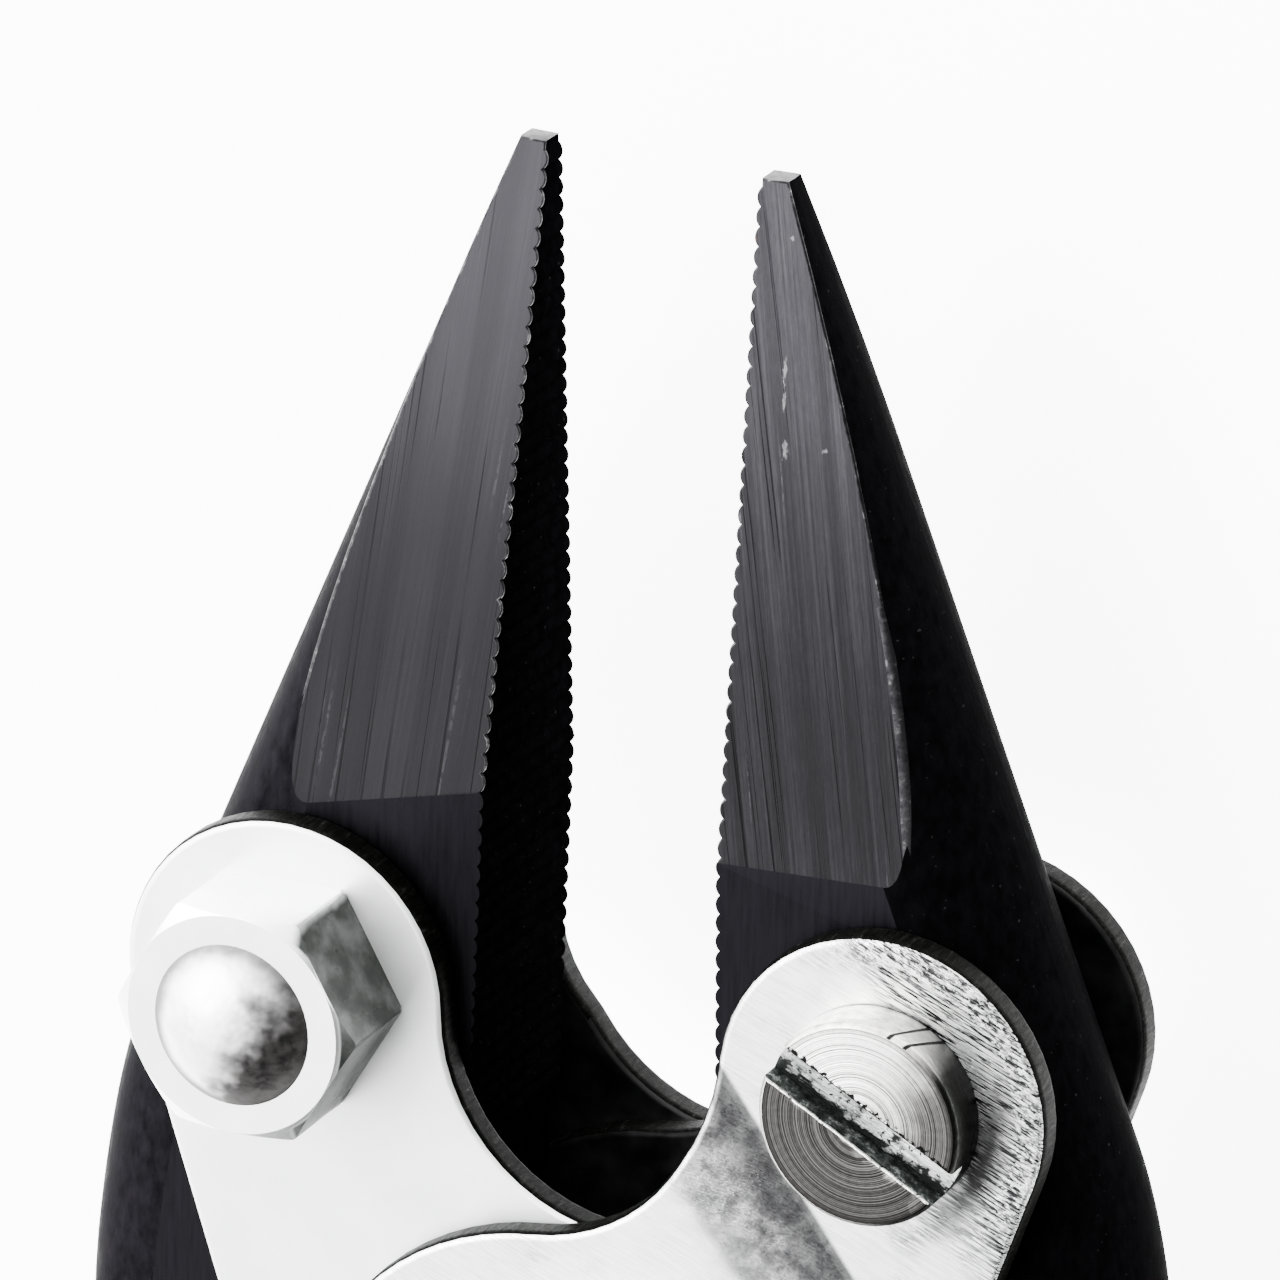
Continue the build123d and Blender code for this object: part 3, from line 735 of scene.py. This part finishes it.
def make_screw(node, front, shaded):
    """Turned face, side, milled slot with rough lips, and a peened far end."""
    bm = surface(node)
    low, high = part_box(node)
    axis = (low + high) / 2
    out = 1 if front else -1
    top = high.z if front else low.z
    screw_faces(bm, axis, top, out, (high.x - low.x) / 2)

    def at_slot(edge):
        return materials_beside(edge) == {FACE, WALL}

    bmesh.ops.subdivide_edges(bm, edges=sharp_edges(bm, 60, at_slot), cuts=LIP_CUTS)
    round_over(bm, sharp_edges(bm, 60, at_slot), LIP_WIDTH, 2, LIP)
    lip_faces = [face for face in bm.faces if face.material_index == LIP]
    upper_side = turned_by((0, 1, 0), SLOT_TURN)
    for face in lip_faces:
        if (face.calc_center_median() - axis).dot(upper_side) > 0:
            face.material_index = DARK_LIP
    noise.seed_set(LIP_SEED)    # noise_vector starts from a random place otherwise
    for v in {v for face in lip_faces for v in face.verts}:
        v.co += noise.noise_vector(v.co / (LIP_GRAIN * MM)) * LIP_ROUGHNESS * MM
    rim = sharp_edges(bm, 28, lambda edge: SIDE in materials_beside(edge))
    round_over(bm, rim, RIM_WIDTH, 2)
    materials = [turned_steel(node + "_face", axis, shaded), head_side(node + "_side", axis, top),
                 slot_floor(node + "_slot", axis), slot_wall(node + "_slot_wall"),
                 peened_end(node + "_end", axis), burr(node + "_burr", False),
                 burr(node + "_crumbs", True)]
    finish_piece(bm, node + "_turned", node, materials)


# ---- small parts and grips ----
NUT_ROUNDING = 0.15
GRIP_ROUNDING = 0.3
SKIN_DEPTH = 0.05           # how deep the waves in a grip's skin are
LONG_WAVE = 6.0
SHORT_WAVE = 2.5


def make_rounded(node, word, width, material):
    """A turned part with its corners rounded over."""
    bm = surface(node)
    round_over(bm, sharp_edges(bm, 28), width, 3)
    finish_piece(bm, node + "_" + word, node, [material])


def make_nut(node, material):
    """Hexagon nut: corners between two flats rounded, the turned chamfer shaded soft."""
    bm = welded(node)
    corners = sharp_edges(bm, 50, lambda edge: all(abs(f.normal.z) < 0.05 for f in edge.link_faces))
    round_over(bm, corners, NUT_ROUNDING, 3)
    finish_piece(bm, node + "_hexagon", node, [material], crease=18)


def make_grip(node, material):
    """Dipped sleeve: a soft rolled lip and a slightly uneven skin."""
    bm = surface(node)
    round_over(bm, sharp_edges(bm, 50), GRIP_ROUNDING, 3)
    bm.normal_update()
    for v in bm.verts:
        wave = noise.noise(v.co / (LONG_WAVE * MM)) + 0.5 * noise.noise(v.co / (SHORT_WAVE * MM))
        v.co -= v.normal * (0.5 + 0.5 * wave) * SKIN_DEPTH * MM
    finish_piece(bm, node + "_sleeve", node, [material], crease=60)


# ---- all the pieces ----

def middle_of_jaw(ear):
    """A jaw's ear, in the middle of the jaw's thickness."""
    low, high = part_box("right_jaw")
    return Vector((ear.x, ear.y, (low.z + high.z) / 2))


left_ground = ground_steel("left_flat_steel", LEFT_EAR, tone=0.0088, contrast=0.45, turn=5.0, seed=1.0)
right_ground = ground_steel("right_flat_steel", RIGHT_EAR, tone=0.0105, contrast=0.75, turn=-11.0,
                            seed=4.0, marks=RIGHT_MARKS)
make_jaw("left_jaw", left_ground, LEFT_FORGED_PAINTED_LIT, 1, middle_of_jaw(LEFT_EAR))
make_jaw("right_jaw", right_ground, RIGHT_FORGED, -1, middle_of_jaw(RIGHT_EAR), WORN_STRIP)
make_handle("right_handle", smooth_plating())
make_handle("left_handle", brushed_plating())
make_screw("right_jaw_screw", True, (-0.55, -0.83, 0))
make_screw("left_jaw_screw", False, (0.5, -0.8, 0))
make_screw("main_pivot_screw", False, (0.5, -0.8, 0))

nut_plating = plated_nut()
left_nut_top = Vector((LEFT_EAR.x, LEFT_EAR.y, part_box("left_jaw_nut")[1].z))
make_nut("left_jaw_nut", plated_nut("left_nut_plating", left_nut_top))
make_nut("right_jaw_nut", nut_plating)
make_nut("main_pivot_nut", nut_plating)
make_rounded("main_pivot_washer", "plain", 0.12, nut_plating)

steel = oiled_steel()
for node in ("right_slot_rivet", "left_slot_rivet"):
    make_rounded(node, "headed", 0.08, steel)
for node in ("left_jaw_bush", "right_jaw_bush", "right_slot_bush", "left_slot_bush", "main_pivot_sleeve"):
    make_rounded(node, "tube", 0.1, steel)

grip_skin = vinyl()
make_grip("right_grip", grip_skin)
make_grip("left_grip", grip_skin)


# ---- floor and light: a white table lit from below and a bright tent that is open towards the right ----
FLOOR_SIZE = 6.0
TABLE_GLOW = 8.0
TENT_SIDE = (-0.9, 0.43, 0.0)   # towards the bright side
TENT_DARK = 0.22
TENT_BRIGHT = 6.5
TENT_EDGE = (-0.22, 0.26)       # from dark to bright, as the cosine of the angle to TENT_SIDE


def make_stage():
    """The white table: a plain floor that glows."""
    mesh = bpy.data.meshes.new("floor")
    half = FLOOR_SIZE / 2
    corners = [(-half, -half, 0), (half, -half, 0), (half, half, 0), (-half, half, 0)]
    mesh.from_pydata(corners, [], [(0, 1, 2, 3)])
    floor = bpy.data.objects.new("floor", mesh)
    bpy.context.scene.collection.objects.link(floor)
    n = Nodes("pale_floor", Roughness=0.9, Specular_IOR_Level=0.2)
    tone = n.noise((0.02, 0.02, 0.02))
    n.out(Base_Color=n.ramp(tone, [(0.3, 0.80), (0.7, 0.84)]))
    n.shader.inputs["Emission Color"].default_value = (1, 1, 1, 1)
    n.shader.inputs["Emission Strength"].default_value = TABLE_GLOW
    mesh.materials.append(n.material)


def soft_light(name, toward, distance, size, power):
    """A square soft box that faces the head from a direction."""
    data = bpy.data.lights.new(name, "AREA")
    data.size = size
    data.energy = power
    light = bpy.data.objects.new(name, data)
    bpy.context.scene.collection.objects.link(light)
    away = Vector(toward).normalized()
    light.location = LEFT_EAR + away * distance
    light.rotation_mode = "QUATERNION"
    light.rotation_quaternion = away.to_track_quat("Z", "Y")


def make_world():
    """The tent: dark on one side and bright on the other."""
    world = bpy.data.worlds.new("studio")
    world.use_nodes = True
    tree = world.node_tree
    sky = tree.nodes["Background"]
    direction = tree.nodes.new("ShaderNodeTexCoord").outputs["Generated"]
    facing = tree.nodes.new("ShaderNodeVectorMath")
    facing.operation = "DOT_PRODUCT"
    facing.inputs[1].default_value = Vector(TENT_SIDE).normalized()
    tree.links.new(direction, facing.inputs[0])
    spread = tree.nodes.new("ShaderNodeMapRange")
    spread.interpolation_type = "SMOOTHSTEP"
    spread.inputs["From Min"].default_value = TENT_EDGE[0]
    spread.inputs["From Max"].default_value = TENT_EDGE[1]
    spread.inputs["To Min"].default_value = TENT_DARK
    spread.inputs["To Max"].default_value = TENT_BRIGHT
    tree.links.new(facing.outputs["Value"], spread.inputs["Value"])
    tree.links.new(spread.outputs[0], sky.inputs["Color"])
    bpy.context.scene.world = world


make_stage()
make_world()
soft_light("key", toward=(-0.7, 0.35, 0.75), distance=0.6, size=0.5, power=14)
